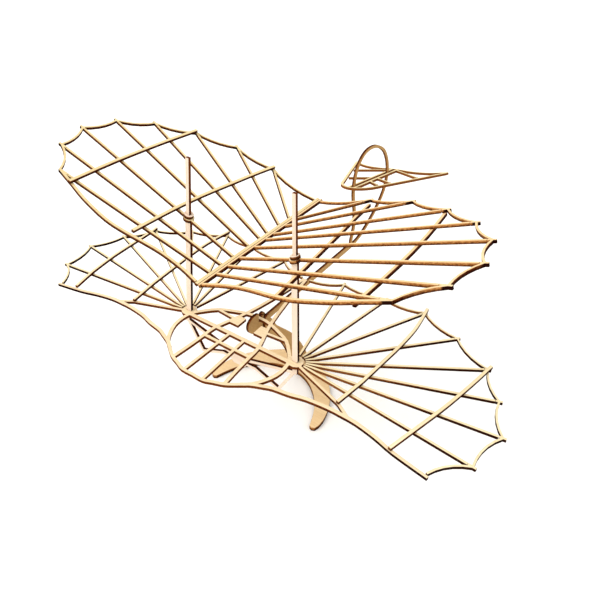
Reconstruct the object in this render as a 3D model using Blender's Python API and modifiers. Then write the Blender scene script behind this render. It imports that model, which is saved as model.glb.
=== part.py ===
"""Skeleton biplane hang glider in laser-cut plywood, resting on a horseshoe display stand.

Metres, +Z up.  The shapes are laid out in millimetres about the glider's datum, which lies midway
between the two posts in the mid-plane of the lower wing: -Y is the nose, +Y the tail and +X the
pilot's left.  A parent empty then lifts the whole assembly so that the stand's foot is at z = 0.
"""

from math import atan, cos, hypot, pi, radians, sin

import bmesh
import bpy
from mathutils import Euler, Matrix, Vector
from mathutils.geometry import delaunay_2d_cdt

MM = 0.001

# sheet stock and fits
SHEET = 3.0  # wings
THICK = 3.0  # posts, keel, fin, tailplane, truss and stand upright
BASE_SHEET = 4.5  # stand foot
GAP = 0.3  # clearance between pieces that touch
LAYER = SHEET + GAP  # one sheet laid on another

# strip widths
RIB_W = 2.25
RIB_ROOT_W = 1.6
SPAR_W = 2.9
RIM_W = 2.0  # trailing edge of the upper wing
UPPER_LE_W = 2.6
TRAILING_W = 1.9  # lower wing
NOSE_W = 2.9  # leading edge of the lower wing, at the nose
INBOARD_W = 3.7  # and where it reaches the ribs
OUTBOARD_W = 2.5
FRAME_W = 4.1
OVERHANG = 2.9  # rib tips beyond the middle of the rim
STUB = 3.2  # shortest rib stub on the inner side of the rim

# placement of the assembly
NOSE_Y = -72.32
TAIL_Y = 336.09
FOOT_Z = -117.5

# posts and hubs of the lower wing
DROOP_X = 60.0
POST_FOOT = (65.0, -3.5)
POST_HEAD = (56.4, 1.5)
POST_TOP = 169.2
POST_W_LOW = 6.0
POST_W_HIGH = 3.7
HUB = (65.0, -4.0)
HUB_R = 7.8

# lower wing
LOWER_TIPS = {
    1: (211.7, -45.0),
    2: (243.0, -16.5),
    3: (253.0, 26.0),
    4: (237.0, 64.0),
    5: (215.0, 97.0),
    6: (175.0, 121.0),
    7: (132.0, 138.5),
    8: (89.0, 133.5),
    9: (39.0, 130.0),
    10: (4.6, 111.2),
}
LOWER_LE = [
    (0, -70.6), (12, -70.6), (21, -67.3), (31, -63.6), (40, -57.6), (49, -51.2), (60, -46.4),
    (68, -43.2), (84, -40), (98, -35.8), (118, -33), (133, -32.6),
]
LOWER_LE_OUTBOARD = [(128, -32.7), (145, -33), (165, -36.5), (184, -41.5), (215.5, -46.4)]
# the glued spars sit a little differently on the two sides
LOWER_SPAR_OUTER = {
    "left": [(214.5, 98), (213.3, 93), (208.2, 66.4), (199.7, 28.4), (191.1, -3), (180.2, -41.5)],
    "right": [(212.5, 97), (211.2, 90), (209.2, 62), (206, 22), (199.8, -14), (192.0, -41.5)],
}
LOWER_SPAR_INNER = [
    (131.6, 139.5), (132.2, 134), (135, 103), (133.8, 70), (131, 42), (127.6, 8), (122.3, -25),
]
DROOP = 0.036  # outboard of DROOP_X

# upper wing: two flat panels with dihedral
DIHEDRAL = 0.322
UPPER_Z = 88.8
UPPER_TIPS = {
    1: (171.0, -49.0),
    2: (201.0, -23.5),
    3: (212.5, 12.0),
    4: (205.5, 50.0),
    5: (182.5, 82.0),
    6: (148.5, 109.0),
    7: (107.5, 129.0),
    8: (61.5, 133.5),
    9: (0.3, 128.0),
}
UPPER_ROOTS = {1: -35, 2: -20, 3: -4, 4: 18, 5: 35, 6: 47, 7: 66, 8: 83}
ROOT_SHIFT = {"left": 0.0, "right": -1.8}
UPPER_LE = [
    (0.3, -54), (21, -52), (42, -52.3), (61, -55.3), (77, -58.7), (99, -61.2), (128, -58.3), (150, -53.3),
    (171, -49),
]
UPPER_SPAR_OUTER = {
    "left": [(143.2, 108), (146.6, 62), (147.0, 10), (143.2, -53.5)],
    "right": [(145.8, 108), (149, 60), (151.2, 0), (150.8, -55.5)],
}
UPPER_SPAR_INNER = {
    "left": [(59.3, 128), (61.5, 100), (64.8, 70), (73, -10), (77.4, -53.5)],
    "right": [(59.4, 132.5), (63.4, 103), (67, 70), (71.2, 30), (73.4, -10), (74, -55.5)],
}
CENTRE_BAR_X = 2.0
CENTRE_BAR_Y = (-56.0, 133.0)
CENTRE_BAR_W = 2.7

# tail: leaf-shaped fin at the end of the keel, and the tailplane that crosses it
KEEL = (33.0, 209.0, -8.3, -1.8)
FIN = [
    (209, -3), (213.5, 18), (212, 42), (206.5, 64), (207, 84), (214, 101), (228, 110.5),
    (246, 111), (263, 105), (278, 94), (289, 76), (292.5, 55), (286, 37), (270, 20), (247, 5),
    (226, -3.5),
]
FIN_W = 3.4
TAIL_ORIGIN = (0.0, 211.6, 73.4)
TAIL_PITCH = -10.0
TAIL_ROLL = 8.4

# stand
BASE_OUTER = [
    (0, 122), (15, 117.5), (28, 109), (40, 99), (50, 89.5), (58, 79), (64.5, 67), (69, 54.5),
    (71.5, 42), (71.5, 33),
]
BASE_TIP = [(70, 28.5), (66.5, 26.8), (63.5, 28.5)]
BASE_INNER = [(62, 33), (58, 44), (52, 56), (43.5, 67), (34, 76), (24, 82.5), (13, 86.8), (0, 88)]
BASE_SLOT = (93.0, 109.0)

scene = bpy.context.scene
for old in list(bpy.data.objects):
    bpy.data.objects.remove(old, do_unlink=True)

parts = bpy.data.collections.new("skeleton_biplane_glider")
cutters = bpy.data.collections.new("cutters")
scene.collection.children.link(parts)
scene.collection.children.link(cutters)


# ---------------------------------------------------------------- materials
def wood(name, colour, roughness):
    """A plain plywood material."""
    material = bpy.data.materials.new(name)
    material.use_nodes = True
    shader = material.node_tree.nodes["Principled BSDF"]
    shader.inputs["Base Color"].default_value = (*colour, 1.0)
    shader.inputs["Roughness"].default_value = roughness
    shader.inputs["Metallic"].default_value = 0.0
    return material


RIB_PLY = wood("rib_ply", (0.80, 0.62, 0.36), 0.62)
SPAR_PLY = wood("spar_ply", (0.76, 0.56, 0.30), 0.60)
RIM_PLY = wood("rim_ply", (0.72, 0.50, 0.27), 0.60)
FRAME_PLY = wood("frame_ply", (0.83, 0.66, 0.40), 0.62)
POST_PLY = wood("post_ply", (0.86, 0.68, 0.50), 0.60)
TAIL_PLY = wood("tail_ply", (0.66, 0.44, 0.22), 0.60)
STAND_PLY = wood("stand_ply", (0.78, 0.56, 0.34), 0.58)


# ---------------------------------------------------------------- layout helpers
def curve_through(points, steps=4, closed=False):
    """Points along a Catmull-Rom curve through the given ones."""
    count = len(points)
    out = []
    spans = count if closed else count - 1
    for i in range(spans):
        if closed:
            p0, p1, p2, p3 = (points[(i + k) % count] for k in (-1, 0, 1, 2))
        else:
            p0, p1 = points[max(i - 1, 0)], points[i]
            p2, p3 = points[i + 1], points[min(i + 2, count - 1)]
        for k in range(steps):
            t = k / steps
            out.append(tuple(
                0.5 * (2 * b + (c - a) * t + (2 * a - 5 * b + 4 * c - d) * t * t
                       + (3 * b - a - 3 * c + d) * t ** 3)
                for a, b, c, d in zip(p0, p1, p2, p3)
            ))
    if not closed:
        out.append(tuple(points[-1]))
    return out


def scallops(tips, sag, steps=5):
    """A trailing edge drawn in between tips: a shallow arc towards the wing in every bay."""
    out = []
    for (ax, ay), (bx, by) in zip(tips, tips[1:]):
        length = hypot(bx - ax, by - ay)
        nx, ny = (by - ay) / length, -(bx - ax) / length
        for k in range(steps):
            t = k / steps
            depth = 4 * t * (1 - t) * sag * length
            out.append((ax + (bx - ax) * t - nx * depth, ay + (by - ay) * t - ny * depth))
    out.append(tips[-1])
    return out


def offset_side(points, widths, side, closed=False):
    """One edge of a strip: the centre line moved sideways, with mitred corners."""
    out = []
    count = len(points)
    for i, (x, y) in enumerate(points):
        before = points[(i - 1) % count] if closed or i else points[i]
        after = points[(i + 1) % count] if closed or i < count - 1 else points[i]
        normals = []
        for (ax, ay), (bx, by) in ((before, (x, y)), ((x, y), after)):
            length = hypot(bx - ax, by - ay)
            if length > 1e-9:
                normals.append(((by - ay) / length, -(bx - ax) / length))
        nx = sum(n[0] for n in normals) / len(normals)
        ny = sum(n[1] for n in normals) / len(normals)
        scale = max(nx * nx + ny * ny, 0.35)
        reach = side * widths[i] / 2 / scale
        out.append((x + nx * reach, y + ny * reach))
    return out


def strip(points, width, end_width=None):
    """The outline of a strip along an open centre line; it may taper from its start to its end."""
    last = width if end_width is None else end_width
    lengths = [0.0]
    for (ax, ay), (bx, by) in zip(points, points[1:]):
        lengths.append(lengths[-1] + hypot(bx - ax, by - ay))
    widths = [width + (last - width) * run / lengths[-1] for run in lengths]
    return [offset_side(points, widths, 1) + offset_side(points, widths, -1)[::-1]]


def half_mirrored(points):
    """A line that starts on the centre line, continued symmetrically to the other side."""
    return [(-x, y) for x, y in points[::-1] if x > 0.01] + list(points)


def polygon(cx, cy, radius, sides, turn=0.0):
    """A regular outline."""
    return [[
        (cx + radius * cos(turn + 2 * pi * k / sides), cy + radius * sin(turn + 2 * pi * k / sides))
        for k in range(sides)
    ]]


def drawn_in(tip, root, distance):
    """A rib's tip moved back towards its root."""
    reach = hypot(tip[0] - root[0], tip[1] - root[1])
    return between(tip, root, distance / reach)


def distance_to(line, x, y):
    """How far a point is from a line of points."""
    nearest = 1e9
    for (ax, ay), (bx, by) in zip(line, line[1:]):
        ux, uy = bx - ax, by - ay
        t = min(max(((x - ax) * ux + (y - ay) * uy) / (ux * ux + uy * uy), 0), 1)
        nearest = min(nearest, hypot(x - ax - ux * t, y - ay - uy * t))
    return nearest


def stub_run(tip, root, rim_line, rim_width):
    """How far in from its tip a rib's stub reaches, so that the rib beyond it clears the rim."""
    reach = hypot(tip[0] - root[0], tip[1] - root[1])
    nx, ny = (tip[1] - root[1]) / reach, -(tip[0] - root[0]) / reach
    run = OVERHANG + STUB
    while run < reach:
        x, y = drawn_in(tip, root, run)
        gaps = [distance_to(rim_line, x + k * nx, y + k * ny) for k in (RIB_W / 2, -RIB_W / 2)]
        if min(gaps) >= rim_width / 2 + GAP:
            break
        run += 0.5
    return run


def between(a, b, t):
    """The point a fraction of the way from a to b."""
    return tuple(p + (q - p) * t for p, q in zip(a, b))


# ---------------------------------------------------------------- solids
FLAT = Euler((0, 0, 0))
SIDE_ON = Euler((pi / 2, 0, pi / 2))  # outline in Y and Z, thickness along X
END_ON = Euler((pi / 2, 0, 0))  # outline in X and Z, thickness along Y


def plate(name, outlines, thickness, material, at=(0, 0, 0), turn=FLAT):
    """A flat piece: filled outlines, extruded equally to both sides of their plane."""
    curve = bpy.data.curves.new(name, "CURVE")
    curve.dimensions = "2D"
    curve.fill_mode = "BOTH"
    curve.extrude = thickness * MM / 2
    for outline in outlines:
        spline = curve.splines.new("POLY")
        spline.points.add(len(outline) - 1)
        for point, (x, y) in zip(spline.points, outline):
            point.co = (x * MM, y * MM, 0, 1)
        spline.use_cyclic_u = True
    curve.materials.append(material)
    obj = bpy.data.objects.new(name, curve)
    obj.location = Vector(at) * MM
    obj.rotation_euler = turn
    parts.objects.link(obj)
    return obj


def as_mesh(obj):
    """The piece as a closed mesh, in place of its curve or its thickened surface."""
    bpy.context.view_layer.update()
    graph = bpy.context.evaluated_depsgraph_get()
    mesh = bpy.data.meshes.new_from_object(obj.evaluated_get(graph))
    work = bmesh.new()
    work.from_mesh(mesh)
    bmesh.ops.remove_doubles(work, verts=work.verts, dist=1e-6)
    bmesh.ops.recalc_face_normals(work, faces=work.faces)
    work.to_mesh(mesh)
    work.free()
    name = obj.name
    solid = bpy.data.objects.new(name, mesh)
    solid.matrix_world = obj.matrix_world.copy()
    bpy.data.objects.remove(obj, do_unlink=True)
    solid.name = name
    parts.objects.link(solid)
    return solid


def sheet(name, outlines, thickness, material, at=(0, 0, 0), turn=FLAT):
    """One flat piece from outlines that overlap: their union, thickened to both sides."""
    points, faces = [], []
    for outline in outlines:
        area = sum(ax * by - bx * ay for (ax, ay), (bx, by) in zip(outline, outline[1:] + outline[:1]))
        loop = outline if area > 0 else outline[::-1]
        faces.append(list(range(len(points), len(points) + len(loop))))
        points.extend(Vector(point) for point in loop)
    corners, _, triangles, _, _, owners = delaunay_2d_cdt(points, [], faces, 1, 1e-3)
    surface = bmesh.new()
    grid = [surface.verts.new((x * MM, y * MM, 0)) for x, y in corners]
    for triangle, owner in zip(triangles, owners):
        if owner:
            surface.faces.new([grid[k] for k in triangle])
    loose = [vertex for vertex in surface.verts if not vertex.link_faces]
    bmesh.ops.delete(surface, geom=loose, context="VERTS")
    bmesh.ops.recalc_face_normals(surface, faces=surface.faces)
    if surface.faces[:] and surface.faces[:][0].normal.z < 0:
        bmesh.ops.reverse_faces(surface, faces=surface.faces)
    bmesh.ops.dissolve_limit(surface, angle_limit=1e-4, verts=surface.verts, edges=surface.edges)
    bmesh.ops.triangulate(surface, faces=surface.faces)
    mesh = bpy.data.meshes.new(name)
    surface.to_mesh(mesh)
    surface.free()
    mesh.materials.append(material)
    obj = bpy.data.objects.new(name, mesh)
    obj.location = Vector(at) * MM
    obj.rotation_euler = turn
    parts.objects.link(obj)
    thicken = obj.modifiers.new("sheet", "SOLIDIFY")
    thicken.thickness = thickness * MM
    thicken.offset = 0
    return obj


def slot(piece, size, at, turn=FLAT):
    """A rectangular opening through a piece, cut with a box."""
    bpy.ops.mesh.primitive_cube_add(size=1, location=(0, 0, 0))
    box = bpy.context.object
    box.data.transform(Matrix.Diagonal((*(Vector(size) * MM), 1.0)))
    for owner in list(box.users_collection):
        owner.objects.unlink(box)
    cutters.objects.link(box)
    box.name = "slot_in_" + piece.name
    box.location = Vector(at) * MM
    box.rotation_euler = turn
    box.hide_render = True
    box.display_type = "WIRE"
    cut = piece.modifiers.new("slot", "BOOLEAN")
    cut.operation = "DIFFERENCE"
    cut.solver = "EXACT"
    cut.object = box
    return box


# ---------------------------------------------------------------- assembly frames
datum = bpy.data.objects.new("stand_datum", None)
datum.location = (0, -(NOSE_Y + TAIL_Y) / 2 * MM, -FOOT_Z * MM)
parts.objects.link(datum)
glider = bpy.data.objects.new("glider_lift_axis", None)
parts.objects.link(glider)
glider.parent = datum

SIDES = (("left", 1), ("right", -1))


def on_side(points, side):
    """A list of points for the left side, or its mirror for the right."""
    return [(side * x, y) for x, y in points]


def droop(obj):
    """Bend a flat lower-wing sheet down outboard of the posts."""
    solid = as_mesh(obj)
    for vertex in solid.data.vertices:
        beyond = abs(vertex.co.x + solid.location.x) / MM - DROOP_X
        if beyond > 0:
            vertex.co.z -= DROOP * beyond * MM
    return solid


built = []

# ---------------------------------------------------------------- lower wing: ribs
lower_tips = [drawn_in(LOWER_TIPS[k], HUB, OVERHANG) for k in range(2, 10)]
lower_edge = scallops(
    [between(LOWER_TIPS[1], lower_tips[0], 0.055)] + lower_tips + [LOWER_TIPS[10]], 0.095)
lower_stubs = {k: stub_run(LOWER_TIPS[k], HUB, lower_edge, TRAILING_W) for k in range(2, 10)}
for label, side in SIDES:
    for number in range(2, 10):
        tip = LOWER_TIPS[number]
        reach = hypot(tip[0] - HUB[0], tip[1] - HUB[1])
        start = between(HUB, tip, (HUB_R + 1.6) / reach)
        knee = between(HUB, tip, (HUB_R + 12.0) / reach)
        end = drawn_in(tip, HUB, lower_stubs[number] + GAP)
        root = strip([start, knee], RIB_ROOT_W, RIB_W)[0]
        arm = strip([knee, end], RIB_W)[0]
        outline = [root[0], arm[0], arm[1], arm[2], arm[3], root[3]]
        rib = plate(f"lower_rib_{label}_{number}", [on_side(outline, side)], SHEET, RIB_PLY)
        built.append(droop(rib))

# ---------------------------------------------------------------- lower wing: main frame sheet
# cross spar, ring, slats, short ribs, hubs and the whole leading edge are cut from one sheet
frame = strip([(-66, -8), (66, -8)], FRAME_W)
frame += strip([(-28.5, -24), (28.5, -24)], 3.1)
RING_LINE = curve_through(half_mirrored([
    (0, 27), (8, 27), (18, 24.5), (31, 19.5), (42, 14), (52, 4), (59.5, -6), (62, -17),
    (61, -29), (56.5, -40), (50, -49.8), (42, -55.9),
]), 2)
frame += strip(RING_LINE, 3.5)
OUTER_SLAT = curve_through([
    (30.3, -63.4), (28.5, -44), (27.3, -24), (26.3, -9), (20, 10), (14.5, 28), (7.5, 63), (1.2, 110),
], 2)
INNER_SLAT = [(10.8, -70.2), (8.8, -7)]
TAB = [(9.5, 5), (20.5, 5), (19, 18), (9.5, 18)]
LINK = [(18, 12), (42, 14)]
SHORT_RIB = [(64.5, -4.8), (123, -24), (136, -32)]
for label, side in SIDES:
    inboard = [(-3, LOWER_LE[0][1])] + curve_through(LOWER_LE, 3)
    frame += strip(on_side(inboard, side), NOSE_W, INBOARD_W)
    frame += strip(on_side(curve_through(LOWER_LE_OUTBOARD, 3), side), INBOARD_W, OUTBOARD_W)
    frame += strip(on_side(OUTER_SLAT, side), 3.4)
    frame += strip(on_side(INNER_SLAT, side), 2.9)
    frame += [on_side(TAB, side)]
    frame += strip(on_side(LINK, side), 2.8)
    frame += strip(on_side(SHORT_RIB, side), 2.8)
    frame += polygon(side * HUB[0], HUB[1], HUB_R, 12, pi / 12)
main_frame = droop(sheet("lower_main_frame", frame, SHEET, FRAME_PLY))
built.append(main_frame)
TENON = (4.0, THICK)
for label, side in SIDES:
    slot(
        main_frame, (TENON[0] + 2 * GAP, TENON[1] + 2 * GAP, 8), (side * POST_FOOT[0], POST_FOOT[1], 0)
    ).parent = glider

# ---------------------------------------------------------------- lower wing: rims and spars
for label, side in SIDES:
    rim = strip(on_side(lower_edge, side), TRAILING_W)
    for number, stub in lower_stubs.items():
        tip = LOWER_TIPS[number]
        rim += strip(on_side([drawn_in(tip, HUB, stub), tip], side), RIB_W)
    built.append(droop(sheet(f"lower_trailing_edge_{label}", rim, SHEET, RIM_PLY)))
    for kind, line in (("outer", LOWER_SPAR_OUTER[label]), ("inner", LOWER_SPAR_INNER)):
        path = curve_through(line[1:-1], 4)
        path = [line[0]] + path + [line[-1]]
        spar = plate(
            f"lower_{kind}_spar_{label}", strip(on_side(path, side), SPAR_W), SHEET, SPAR_PLY,
            (0, 0, LAYER),
        )
        built.append(droop(spar))

# ---------------------------------------------------------------- upper wing
PANEL_ANGLE = atan(DIHEDRAL)
STRETCH = 1 / cos(PANEL_ANGLE)


def panel_plate(name, line, side, level, width, material):
    """A sheet piece of one upper panel, at a level measured square to the panel.

    With a width the line is the middle of a strip, and without one it is the whole outline.
    """
    points = [(side * x * STRETCH, y) for x, y in line]
    shape = strip(points, width) if width else [points]
    normal = (-side * sin(PANEL_ANGLE), 0, cos(PANEL_ANGLE))
    at = (normal[0] * level, 0, UPPER_Z + normal[2] * level)
    return plate(name, shape, SHEET, material, at, Euler((0, -side * PANEL_ANGLE, 0)))


def post_axes(side):
    """Foot of a post, and its width, normal and upward directions."""
    foot = Vector((side * POST_FOOT[0], POST_FOOT[1], 0))
    head = Vector((side * POST_HEAD[0], POST_HEAD[1], POST_TOP))
    up = (head - foot).normalized()
    width = (Vector((1, 0, 0)) - up.x * up).normalized()
    return foot, width, up.cross(width), up


def post_through_panel(side, level):
    """Run along the post to a level of its upper panel, and that point along and across the panel."""
    foot, _, _, up = post_axes(side)
    normal = Vector((-side * sin(PANEL_ANGLE), 0, cos(PANEL_ANGLE)))
    along = Vector((cos(PANEL_ANGLE), 0, side * sin(PANEL_ANGLE)))
    apex = Vector((0, 0, UPPER_Z))
    run = (level - (foot - apex).dot(normal)) / up.dot(normal)
    point = foot + up * run
    return run, (point - apex).dot(along), point


def post_opening(piece, side, point):
    """The slot that a leaning post passes through."""
    _, width, across, up = post_axes(side)
    turn = Matrix((width, across, up)).transposed().to_euler()
    slot(piece, (POST_W_HIGH + 2 * GAP, THICK + 2 * GAP, 16), point, turn).parent = glider


def cut_to_bar(root, end, width):
    """The outline of a straight rib, with its root cut along the bar that it meets."""
    outline = strip([root, end], width)[0]
    rise = width / 2 * hypot(end[0] - root[0], end[1] - root[1]) / (end[0] - root[0])
    rise = rise if outline[0][1] > outline[3][1] else -rise
    return [(root[0], root[1] + rise), outline[1], outline[2], (root[0], root[1] - rise)]


bar_edge = CENTRE_BAR_X + CENTRE_BAR_W / 2 + GAP
upper_roots = {number: (bar_edge, root_y) for number, root_y in UPPER_ROOTS.items()}
first, last = drawn_in(UPPER_TIPS[1], upper_roots[1], 0.8), (bar_edge + 0.3, UPPER_TIPS[9][1])
upper_front = curve_through([(bar_edge + 0.15, -54)] + UPPER_LE[1:-1] + [first], 3)
upper_rear = scallops(
    [first] + [drawn_in(UPPER_TIPS[k], upper_roots[k], OVERHANG) for k in range(2, 9)] + [last], 0.095)
upper_stubs = {
    k: stub_run(UPPER_TIPS[k], upper_roots[k], upper_front + upper_rear[1:], UPPER_LE_W)
    for k in upper_roots
}

for label, side in SIDES:
    # one panel is the other turned over, so its spars lie under the ribs
    spar_level = -LAYER if label == "left" else LAYER
    for number, (root_x, root_y) in upper_roots.items():
        root = (root_x, root_y + ROOT_SHIFT[label])
        end = drawn_in(UPPER_TIPS[number], root, upper_stubs[number] + GAP)
        outline = cut_to_bar(root, end, RIB_W)
        rib = panel_plate(f"upper_rib_{label}_{number}", outline, side, 0, None, RIB_PLY)
        if number == 3:
            bpy.data.objects.remove(rib, do_unlink=True)
            arm = [[(side * x * STRETCH, y) for x, y in outline]]
            _, eye_x, crossing = post_through_panel(side, 0)
            eye = polygon(eye_x, crossing.y, 5.2, 12, pi / 12)
            rib = as_mesh(sheet(
                f"upper_rib_{label}_{number}", arm + eye, SHEET, RIB_PLY, (0, 0, UPPER_Z),
                Euler((0, -side * PANEL_ANGLE, 0)),
            ))
            post_opening(rib, side, crossing)
        built.append(rib)
    lines = [(upper_front, UPPER_LE_W), (upper_rear, RIM_W)]
    for number, root in upper_roots.items():
        tip = UPPER_TIPS[number]
        lines.append(([drawn_in(tip, root, upper_stubs[number]), tip], RIB_W))
    outlines = []
    for line, width in lines:
        outlines += strip([(side * x * STRETCH, y) for x, y in line], width)
    built.append(as_mesh(sheet(
        f"upper_rim_{label}", outlines, SHEET, RIM_PLY, (0, 0, UPPER_Z),
        Euler((0, -side * PANEL_ANGLE, 0)),
    )))
    built.append(panel_plate(
        f"upper_outer_spar_{label}", curve_through(UPPER_SPAR_OUTER[label], 3), side, spar_level, SPAR_W,
        SPAR_PLY))
    built.append(panel_plate(
        f"upper_inner_spar_{label}", curve_through(UPPER_SPAR_INNER[label], 3), side, spar_level, SPAR_W,
        SPAR_PLY))
    bar = [(CENTRE_BAR_X, CENTRE_BAR_Y[0]), (CENTRE_BAR_X, CENTRE_BAR_Y[1])]
    built.append(panel_plate(
        f"upper_centre_bar_{label}", bar, side, 0, CENTRE_BAR_W, SPAR_PLY))

# ---------------------------------------------------------------- posts and collars
for label, side in SIDES:
    foot, width, across, up = post_axes(side)
    low, high, tenon = POST_W_LOW / 2, POST_W_HIGH / 2, TENON[0] / 2
    base = SHEET / 2 + GAP + 0.1
    # the shoulder follows the slope of the panel that rests on it
    seat, _, _ = post_through_panel(side, -SHEET / 2 - GAP)
    along = Vector((cos(PANEL_ANGLE), 0, side * sin(PANEL_ANGLE)))
    rise = along.dot(up) / along.dot(width)
    top = (Vector((side * POST_HEAD[0], POST_HEAD[1], POST_TOP)) - foot).length
    profile = [
        (tenon, -SHEET / 2), (tenon, base), (low, base), (low, seat + rise * low),
        (high, seat + rise * high), (high, top), (-high, top), (-high, seat - rise * high),
        (-low, seat - rise * low), (-low, base), (-tenon, base), (-tenon, -SHEET / 2),
    ]
    turn = Matrix((width, up, width.cross(up))).transposed().to_euler()
    built.append(plate(f"post_{label}", [profile], THICK, POST_PLY, foot, turn))
    _, collar_x, crossing = post_through_panel(side, LAYER)
    normal = Vector((-side * sin(PANEL_ANGLE), 0, cos(PANEL_ANGLE)))
    collar = as_mesh(plate(
        f"post_collar_{label}", polygon(collar_x, crossing.y, 4.6, 12, pi / 12), SHEET, POST_PLY,
        normal * LAYER + Vector((0, 0, UPPER_Z)), Euler((0, -side * PANEL_ANGLE, 0)),
    ))
    post_opening(collar, side, crossing)
    built.append(collar)

# ---------------------------------------------------------------- keel, fin and tailplane
keel = [(KEEL[0], KEEL[2]), (KEEL[1], KEEL[2]), (KEEL[1], KEEL[3]), (KEEL[0], KEEL[3])]
leaf = curve_through(FIN, 3, True)
turn_at = len(leaf) // 2
fin = strip(leaf[: turn_at + 1], FIN_W) + strip(leaf[turn_at - 1:] + leaf[:2], FIN_W)
built.append(as_mesh(sheet("keel_with_fin", [keel] + fin, THICK, TAIL_PLY, (0, 0, 0), SIDE_ON)))

tail_turn = (
    Matrix.Rotation(radians(TAIL_PITCH), 3, "X") @ Matrix.Rotation(radians(-TAIL_ROLL), 3, "Y")
).to_euler()
TAIL_NOSE = [(0, -12.6), (8, -10.2), (15, -4.5), (20, 3.6), (24, 15), (30.5, 32)]
TAIL_REAR = [(64.4, 123.5), (52, 112.2), (42, 106), (31, 103), (20, 103), (9, 105), (0, 106.2)]
TAIL_RIBS = [(101, 43.5, 75), (47.5, 27.6, 33), (28.5, 19.4, 16)]
SPINE_X = 3.6
tail = strip(curve_through(half_mirrored(TAIL_NOSE), 2), 3.2)
for label, side in SIDES:
    tail += strip(on_side([TAIL_NOSE[-2], TAIL_NOSE[-1], (63.3, 120.5)], side), 3.0)
    tail += strip(on_side(curve_through(TAIL_REAR, 2), side), 2.8)
    tail += strip(on_side([(SPINE_X, -11.5), (SPINE_X, 106.5)], side), 2.8)
    for inner_y, outer_x, outer_y in TAIL_RIBS[:3 if label == "left" else 2]:
        tail += strip(on_side([(SPINE_X, inner_y), (outer_x, outer_y)], side), 2.6)
tailplane = as_mesh(sheet("tailplane", tail, THICK, TAIL_PLY, TAIL_ORIGIN, tail_turn))
built.append(tailplane)

# ---------------------------------------------------------------- truss under the main spar
truss = [[(-10, -24), (10, -24), (11, -30), (7, -36), (-7, -36), (-11, -30)]]
for label, side in SIDES:
    for line, width in (
        ([(4, -27), (66, -10)], 3.2),
        ([(6, -31), (20, -30.5), (47, -41.5)], 3.0),
        ([(47, -42.5), (66.5, -8)], 3.0),
        ([(66, -12), (66, -SHEET / 2 - GAP - 0.35)], 5.0),
    ):
        truss += strip(on_side(line, side), width)
built.append(as_mesh(sheet("underframe_truss", truss, THICK, POST_PLY, (0, -5, 0), END_ON)))

for obj in built:
    obj.parent = glider

# ---------------------------------------------------------------- stand
half = curve_through(BASE_OUTER, 2) + BASE_TIP + curve_through(BASE_INNER, 2)
base_outline = half[:-1] + [(-x, y) for x, y in half[::-1]][:-1]
base = as_mesh(plate(
    "stand_base", [base_outline], BASE_SHEET, STAND_PLY, (0, 0, FOOT_Z + BASE_SHEET / 2)))
slot(
    base, (THICK + 2 * GAP, BASE_SLOT[1] - BASE_SLOT[0] + 2 * GAP, 12),
    (0, (BASE_SLOT[0] + BASE_SLOT[1]) / 2, FOOT_Z + BASE_SHEET / 2),
).parent = datum

BASE_TOP = FOOT_Z + BASE_SHEET + GAP
HEAD = [
    (14.5, -10.5), (9.5, -5.5), (7.6, 0.5), (9.2, 5.8), (14, 9), (20, 9.6), (24.4, 8.6),
]
NOTCH = [(24.4, -SHEET / 2 - GAP), (29.6, -SHEET / 2 - GAP), (29.6, 3.2), (32.6, 2.2)]
SHELF = [(32.6, KEEL[2] - GAP), (44, KEEL[2] - GAP)]
BACK = [(44, KEEL[2] - GAP), (49.5, -15.5), (54.5, -25), (72.5, -43.6), (88.5, -61.5), (103.5, -84)]
FRONT = [(88.5, BASE_TOP), (85.5, -98), (79.5, -85), (71, -67), (61, -51.5), (48, -37), (33, -27), (22, -18.5)]
upright_outline = (
    curve_through(HEAD, 2) + NOTCH + SHELF + curve_through(BACK, 2)[1:]
    + [(114.5, -104), (116.5, BASE_TOP), (BASE_SLOT[1], BASE_TOP), (BASE_SLOT[1], FOOT_Z + GAP),
       (BASE_SLOT[0], FOOT_Z + GAP), (BASE_SLOT[0], BASE_TOP)]
    + curve_through(FRONT, 2)
)
upright = plate("stand_upright", [upright_outline], THICK, STAND_PLY, (0, 0, 0), SIDE_ON)

cheeks = []
CHEEK = [
    (35, 2.2), (37.6, 1.2), (39.3, -1.5), (39.6, -6), (39.4, -12), (37.8, -15.2), (35, -16.3),
    (32.6, -15.2), (31.0, -12), (30.8, -6), (31.1, -1.5), (32.4, 1.2),
]
for label, side in SIDES:
    cheeks.append(plate(
        f"stand_cheek_{label}", [CHEEK], THICK, STAND_PLY, (side * (THICK + GAP), 0, 0), SIDE_ON))

for obj in [base, upright] + cheeks:
    obj.parent = datum
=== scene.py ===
from math import cos, radians, sin

import bmesh
import bpy
import numpy as np
from mathutils import Matrix, Vector


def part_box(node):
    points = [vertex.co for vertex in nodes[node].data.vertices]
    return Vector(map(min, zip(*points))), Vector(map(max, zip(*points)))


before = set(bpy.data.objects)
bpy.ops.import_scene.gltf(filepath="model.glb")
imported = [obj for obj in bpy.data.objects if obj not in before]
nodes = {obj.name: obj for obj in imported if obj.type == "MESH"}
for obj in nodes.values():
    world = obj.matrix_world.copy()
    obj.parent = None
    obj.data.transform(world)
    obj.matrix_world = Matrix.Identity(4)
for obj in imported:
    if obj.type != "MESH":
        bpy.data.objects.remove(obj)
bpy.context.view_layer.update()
scene = bpy.context.scene
MM = 0.001

# sheet thicknesses, as in the part
SHEET = 3.0 * MM
BASE_SHEET = 4.5 * MM

# the glider's own datum (between the posts, in the lower wing) in the frame's coordinates
DATUM_Y = -131.885 * MM
DATUM_ABOVE_FOOT = 117.5 * MM
foot_low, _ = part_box("stand_base")
DATUM = Vector((0.0, DATUM_Y, foot_low[2] + DATUM_ABOVE_FOOT))

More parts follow.
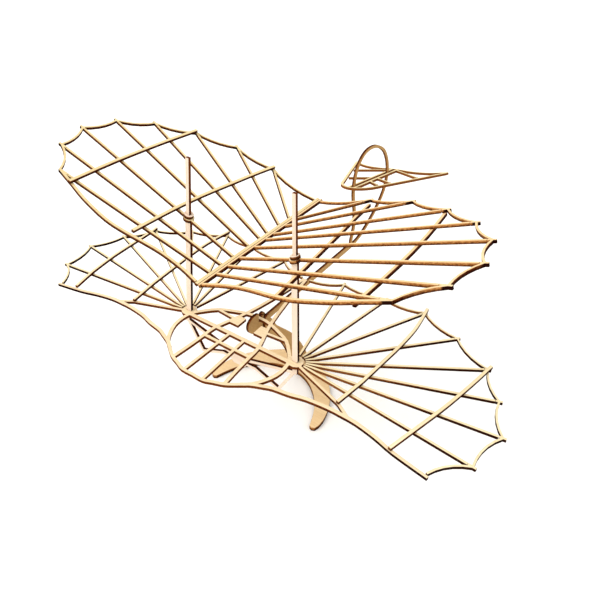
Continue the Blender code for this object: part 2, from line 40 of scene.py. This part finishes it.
# how the upper panels and the tailplane lie, as in the part
DIHEDRAL = 0.322  # rise over run
TAIL_PITCH = -10.0
TAIL_ROLL = 8.4

# ------------------------------------------------------------------ tones and burns
# veneer: the lighter and the darker wood of the grain
CREAM = ((0.86, 0.76, 0.52), (0.76, 0.61, 0.36))
SHELL = ((0.86, 0.71, 0.49), (0.74, 0.56, 0.34))
HONEY = ((0.84, 0.71, 0.42), (0.72, 0.55, 0.28))
WARM = ((0.86, 0.66, 0.40), (0.74, 0.50, 0.25))
PEACH = ((0.82, 0.68, 0.56), (0.72, 0.56, 0.44))
# a darker copy of the veneer for the keel and the stand's upright and cheeks: painted shade on broad
# faces turned away from the light
SHADED_TAN = ((0.52, 0.33, 0.14), (0.40, 0.23, 0.09))
STAND = ((0.86, 0.66, 0.40), (0.74, 0.52, 0.28))
# cut edges: darkest, usual and lightest char
# each material takes two of these sets, the first for edges that face the nose and the second for all
# others; where the first is lighter, that lightness is painted light
SOOTY = ((0.014, 0.002, 0.001), (0.050, 0.007, 0.001), (0.150, 0.036, 0.006))
BROWN = ((0.026, 0.005, 0.001), (0.090, 0.022, 0.004), (0.240, 0.080, 0.018))
LIT_RUST = ((0.070, 0.022, 0.006), (0.220, 0.080, 0.020), (0.400, 0.180, 0.055))
LIT_AMBER = ((0.070, 0.018, 0.004), (0.300, 0.105, 0.024), (0.560, 0.270, 0.090))
BLACK, WHITE = (0, 0, 0), (1, 1, 1)

TIP_REACH = 6.5 * MM  # from a rib's own end to its tip on the rim
TIP_DARK_RADIUS = 5.0 * MM  # around that tip, edges are nearly black
TIP_DARK_SPAN = 10.0 * MM  # the distance that the darkening's ramp covers
HALO = 0.38 * MM  # scorched band along the outline of a face
HALO_COLOUR = (0.30, 0.125, 0.040)
STAND_SCORCH = 1.6  # the stand's halo is wider
BUMP_DEPTH = 0.12 * MM


# ------------------------------------------------------------------ shader helpers
def link(tree, a, b):
    tree.links.new(a, b)


def feed(tree, socket, value):
    """Give a socket a constant or another socket's output."""
    if isinstance(value, bpy.types.NodeSocket):
        link(tree, value, socket)
    else:
        socket.default_value = value


def math_node(tree, operation, a, b=None, clamp=False):
    node = tree.nodes.new("ShaderNodeMath")
    node.operation = operation
    node.use_clamp = clamp
    feed(tree, node.inputs[0], a)
    if b is not None:
        feed(tree, node.inputs[1], b)
    return node.outputs[0]


def vector_node(tree, operation, a, b):
    """A vector operation that gives one number."""
    node = tree.nodes.new("ShaderNodeVectorMath")
    node.operation = operation
    feed(tree, node.inputs[0], a)
    feed(tree, node.inputs[1], b)
    return node.outputs["Value"]


def ramp(tree, fac, stops):
    node = tree.nodes.new("ShaderNodeValToRGB")
    elements = node.color_ramp.elements
    while len(elements) < len(stops):
        elements.new(0.5)
    for element, (position, colour) in zip(elements, stops):
        element.position = position
        element.color = (*colour, 1.0)
    link(tree, fac, node.inputs[0])
    return node.outputs[0]


def mix(tree, fac, a, b, blend="MIX"):
    node = tree.nodes.new("ShaderNodeMix")
    node.data_type = "RGBA"
    node.blend_type = blend
    feed(tree, node.inputs[0], fac)
    for socket, value in ((node.inputs[6], a), (node.inputs[7], b)):
        feed(tree, socket, (*value, 1.0) if isinstance(value, tuple) else value)
    return node.outputs[2]


def noise(tree, sheet, scale, shift, detail, roughness=0.5, distortion=0.0):
    """Noise stretched along the sheet's axes."""
    mapping = tree.nodes.new("ShaderNodeMapping")
    mapping.inputs["Scale"].default_value = scale
    mapping.inputs["Location"].default_value = shift
    link(tree, sheet, mapping.inputs["Vector"])
    node = tree.nodes.new("ShaderNodeTexNoise")
    node.inputs["Scale"].default_value = 1.0
    node.inputs["Detail"].default_value = detail
    node.inputs["Roughness"].default_value = roughness
    node.inputs["Distortion"].default_value = distortion
    link(tree, mapping.outputs[0], node.inputs["Vector"])
    return node.outputs["Fac"]


# ------------------------------------------------------------------ plywood material
def sheet_axes(tree, coords, grain, normal):
    """Coordinates along the grain, across it and through the sheet, and the last of them alone."""
    grain = (grain - normal * grain.dot(normal)).normalized()
    axes = [
        vector_node(tree, "DOT_PRODUCT", coords.outputs["Object"], axis)
        for axis in (grain, normal.cross(grain), normal)
    ]
    sheet = tree.nodes.new("ShaderNodeCombineXYZ")
    for socket, value in zip(sheet.inputs, axes):
        link(tree, value, socket)
    return sheet.outputs[0], axes[2]


def veneer(tree, sheet, shift, tone):
    """Colour of the veneer, and the fibres and pores that also shape its relief."""
    light, dark = tone
    fibres = noise(tree, sheet, (55, 1500, 300), shift, 5, 0.62, 0.15)
    figure = noise(tree, sheet, (9, 170, 60), shift, 3, 0.55, 0.6)
    patches = noise(tree, sheet, (22, 34, 34), shift, 2)
    pores = noise(tree, sheet, (160, 2600, 400), shift, 2)
    grain_mix = math_node(tree, "ADD", math_node(tree, "MULTIPLY", fibres, 0.55),
                          math_node(tree, "MULTIPLY", figure, 0.45))
    mid = tuple((a + b) / 2 for a, b in zip(light, dark))
    face = ramp(tree, grain_mix, ((0.30, dark), (0.47, mid), (0.62, light)))
    face = mix(tree, math_node(tree, "MULTIPLY", patches, 0.30), face, (0.96, 0.83, 0.62), "MULTIPLY")
    pore_mask = ramp(tree, pores, ((0.60, BLACK), (0.72, WHITE)))
    face = mix(tree, math_node(tree, "MULTIPLY", pore_mask, 0.35), face, tuple(c * 0.62 for c in dark))
    return face, fibres, pores


def near_tips(tree, coords, tips):
    """A mask that is white around the given points."""
    nearest = None
    for tip in tips:
        apart = vector_node(tree, "DISTANCE", coords.outputs["Object"], tip)
        nearest = apart if nearest is None else math_node(tree, "MINIMUM", nearest, apart)
    share = TIP_DARK_RADIUS / TIP_DARK_SPAN
    return ramp(tree, math_node(tree, "DIVIDE", nearest, TIP_DARK_SPAN),
                ((0.8 * share, WHITE), (1.1 * share, BLACK)))


def cut_edge(tree, coords, sheet, shift, depth, thickness, lit_and_other_chars, tips):
    """Colour of a charred cut edge: darkest at one face, ragged, with faint plies, and lighter where
    it faces the nose, which is painted light.
    """
    plies = math_node(tree, "ABSOLUTE", math_node(tree, "DIVIDE", depth, thickness / 2))
    bands = ramp(tree, plies, tuple((position, (grey,) * 3) for position, grey in (
        (0.0, 0.95), (0.30, 0.85), (0.345, 0.55), (0.40, 1.0), (0.90, 0.90), (1.0, 0.55),
    )))
    soot = noise(tree, sheet, (420, 420, 900), shift, 4, 0.6)
    height = math_node(tree, "DIVIDE", depth, thickness)
    ragged = math_node(tree, "MULTIPLY", math_node(tree, "SUBTRACT", soot, 0.5), 1.5)
    level = math_node(tree, "ADD", math_node(tree, "ADD", height, ragged), 0.5)
    # painted light: edges that face the nose, where the light falls, take the lighter char set
    noseward = vector_node(tree, "DOT_PRODUCT", coords.outputs["Normal"], (0, -1, 0))
    lit_nose_mask = ramp(tree, noseward, ((0.55, BLACK), (0.90, WHITE)))
    lit_nose_edge, elsewhere = (ramp(tree, level, tuple(zip((0.22, 0.56, 0.95), char))) for char in lit_and_other_chars)
    edge = mix(tree, lit_nose_mask, elsewhere, lit_nose_edge)
    if tips:
        edge = mix(tree, near_tips(tree, coords, tips), edge, SOOTY[0])
    return mix(tree, 0.35, edge, bands, "MULTIPLY")


def halo_mask(tree, sheet, shift, scorch):
    """How scorched a face is: most at its outline, unevenly along it."""
    bevel = tree.nodes.new("ShaderNodeBevel")
    bevel.samples = 6
    bevel.inputs["Radius"].default_value = HALO * scorch
    surface = tree.nodes.new("ShaderNodeNewGeometry")
    turned = vector_node(tree, "DOT_PRODUCT", bevel.outputs[0], surface.outputs["True Normal"])
    outline = ramp(tree, turned, ((0.80, WHITE), (0.995, BLACK)))
    uneven = noise(tree, sheet, (140, 140, 140), shift, 3, 0.6)
    return math_node(tree, "MULTIPLY", outline, math_node(tree, "ADD", uneven, 0.35, True), True)


def plywood(name, grain, normal, centre, thickness, tone, lit_and_other_chars, seed, scorch=1.0, tips=()):
    """Laser-cut plywood: veneer faces square to normal with grain along one way, charred cut edges.

    The char pair holds the char of the edges that face the nose and that of all the others; where the
    first is lighter, that lightness is painted light on the edges the light falls on.  The split
    follows the edge tones seen in the photo.
    """
    material = bpy.data.materials.new(name)
    material.use_nodes = True
    tree = material.node_tree
    shader = tree.nodes["Principled BSDF"]
    coords = tree.nodes.new("ShaderNodeTexCoord")
    normal = Vector(normal).normalized()
    sheet, through = sheet_axes(tree, coords, Vector(grain), normal)
    depth = math_node(tree, "SUBTRACT", through, normal.dot(Vector(centre)))
    shift = (seed * 1.37 % 5, seed * 2.11 % 7, seed * 0.73 % 3)

    face, fibres, pores = veneer(tree, sheet, shift, tone)
    halo = halo_mask(tree, sheet, shift, scorch)
    face = mix(tree, math_node(tree, "MULTIPLY", halo, 0.62), face, HALO_COLOUR)
    edge = cut_edge(tree, coords, sheet, shift, depth, thickness, lit_and_other_chars, tips)

    # which of the two a point is on, from the surface's own direction
    facing = vector_node(tree, "DOT_PRODUCT", coords.outputs["Normal"], normal)
    face_mask = ramp(tree, math_node(tree, "ABSOLUTE", facing), ((0.55, BLACK), (0.75, WHITE)))
    link(tree, mix(tree, face_mask, edge, face), shader.inputs["Base Color"])

    roughness = math_node(tree, "ADD", math_node(tree, "MULTIPLY", fibres, 0.22), 0.60)
    link(tree, roughness, shader.inputs["Roughness"])
    shader.inputs["Specular IOR Level"].default_value = 0.02
    shader.inputs["IOR"].default_value = 1.45
    bump = tree.nodes.new("ShaderNodeBump")
    bump.inputs["Strength"].default_value = 0.35
    bump.inputs["Distance"].default_value = BUMP_DEPTH
    relief = math_node(tree, "ADD", fibres, math_node(tree, "MULTIPLY", pores, 0.4))
    link(tree, relief, bump.inputs["Height"])
    link(tree, bump.outputs[0], shader.inputs["Normal"])
    return material


# ------------------------------------------------------------------ one material per piece
def principal(node):
    """Centre and longest direction of a node's own shape."""
    points = np.array([v.co for v in node.data.vertices])
    centre = (points.min(axis=0) + points.max(axis=0)) / 2
    _, _, rows = np.linalg.svd(points - points.mean(axis=0), full_matrices=False)
    return centre, Vector(rows[0])


def panel_normal(side):
    """The direction square to an upper panel."""
    slope = Vector((1, 0, DIHEDRAL * side)).normalized()
    return Vector((-slope.z, 0, slope.x))


def rib_tips(prefix):
    """Points just beyond the outer ends of a panel's ribs, where they pass the rim."""
    points = []
    for name, node in sorted(nodes.items()):
        if name.startswith(prefix):
            centre, along = principal(node)
            along = along if along.x * centre[0] > 0 else -along
            reach = max((v.co - Vector(centre)).dot(along) for v in node.data.vertices)
            points.append(Vector(centre) + along * (reach + TIP_REACH))
    return tuple(points)


ACROSS, LENGTHWAYS, UPRIGHT = Vector((1, 0, 0)), Vector((0, 1, 0)), Vector((0, 0, 1))
TAIL_TURN = Matrix.Rotation(radians(TAIL_PITCH), 3, "X") @ Matrix.Rotation(radians(-TAIL_ROLL), 3, "Y")
for index, (name, node) in enumerate(sorted(nodes.items())):
    centre, along = principal(node)
    side = 1 if "_left" in name else -1
    normal, thickness, tone, lit_and_other_chars, scorch = UPRIGHT, SHEET, CREAM, (BROWN, SOOTY), 1.0
    tips = ()
    if name.startswith("upper"):
        normal, tone = panel_normal(side), HONEY
        if side > 0:
            tone, lit_and_other_chars = WARM, (SOOTY if "spar" in name else LIT_AMBER, SOOTY)
        if "rim" in name:
            tips = rib_tips(name.replace("rim", "rib"))
    elif name.startswith("post_collar"):
        normal, tone, lit_and_other_chars = panel_normal(side), PEACH, (BROWN, BROWN)
    elif name.startswith("post"):
        normal, tone, along = LENGTHWAYS, PEACH, UPRIGHT
    elif name == "underframe_truss":
        normal, tone, along = LENGTHWAYS, PEACH, ACROSS
    elif name == "keel_with_fin":
        normal, tone, lit_and_other_chars, along = ACROSS, SHADED_TAN, (LIT_RUST, BROWN), LENGTHWAYS
    elif name == "tailplane":
        normal, tone, lit_and_other_chars, along = TAIL_TURN @ UPRIGHT, HONEY, (BROWN, BROWN), LENGTHWAYS
    elif name in ("stand_upright", "stand_cheek_left", "stand_cheek_right"):
        normal, tone, scorch, along = ACROSS, SHADED_TAN, STAND_SCORCH, Vector((0, 1, -1))
    elif name == "stand_base":
        tone, lit_and_other_chars, scorch, along = STAND, (LIT_RUST, BROWN), STAND_SCORCH, ACROSS
        thickness = BASE_SHEET
    elif name == "lower_main_frame":
        tone, lit_and_other_chars, along = SHELL, (SOOTY, SOOTY), ACROSS
    if abs(along.normalized().dot(normal)) > 0.9:
        along = LENGTHWAYS
    material = plywood(
        "ply_" + name, along, normal, centre, thickness, tone, lit_and_other_chars, index + 1, scorch, tips,
    )
    node.data.materials.clear()
    node.data.materials.append(material)
    for polygon in node.data.polygons:
        polygon.use_smooth = False

# ------------------------------------------------------------------ floor, light and camera
FLOOR_RADIUS = 9.0
floor_mesh = bpy.data.meshes.new("floor")
work = bmesh.new()
bmesh.ops.create_circle(work, cap_ends=True, segments=96, radius=FLOOR_RADIUS)
work.to_mesh(floor_mesh)
work.free()
floor = bpy.data.objects.new("floor", floor_mesh)
scene.collection.objects.link(floor)
paint = bpy.data.materials.new("pale_floor")
paint.use_nodes = True
board = paint.node_tree.nodes["Principled BSDF"]
board.inputs["Base Color"].default_value = (0.97, 0.968, 0.962, 1)
board.inputs["Roughness"].default_value = 0.85
floor.data.materials.append(paint)

world = bpy.data.worlds.new("studio")
scene.world = world
world.use_nodes = True
world.node_tree.nodes["Background"].inputs["Color"].default_value = (1.0, 0.99, 0.97, 1)
world.node_tree.nodes["Background"].inputs["Strength"].default_value = 0.88

# one broad, even light
lamp = bpy.data.lights.new("key", "SUN")
lamp.energy = 2.2
lamp.angle = radians(40)
lamp.color = (1.0, 0.98, 0.95)
key = bpy.data.objects.new("key", lamp)
key.rotation_euler = Vector((-0.35, -0.55, 0.76)).to_track_quat("Z", "Y").to_euler()
scene.collection.objects.link(key)

# a viewpoint that reproduces the photograph: one of many camera fits, chosen for its small shift
CAMERA_FROM_DATUM = Vector((299.5, -361.6, 393.6)) * MM
AZIMUTH, ELEVATION, ROLL = radians(33.13), radians(31.50), radians(-1.65)
forward = Vector((-sin(AZIMUTH) * cos(ELEVATION), cos(AZIMUTH) * cos(ELEVATION), -sin(ELEVATION)))
level = forward.cross(UPRIGHT).normalized()
down = forward.cross(level)
right = level * cos(ROLL) + down * sin(ROLL)
up = right.cross(forward)
lens = bpy.data.cameras.new("camera")
lens.sensor_width = 36
lens.lens = 37.37
lens.shift_y = -0.1
lens.clip_start = 0.01
camera = bpy.data.objects.new("camera", lens)
place = Matrix((right, up, -forward)).transposed().to_4x4()
place.translation = DATUM + CAMERA_FROM_DATUM
camera.matrix_world = place
scene.collection.objects.link(camera)
scene.camera = camera
scene.view_settings.view_transform = "Standard"
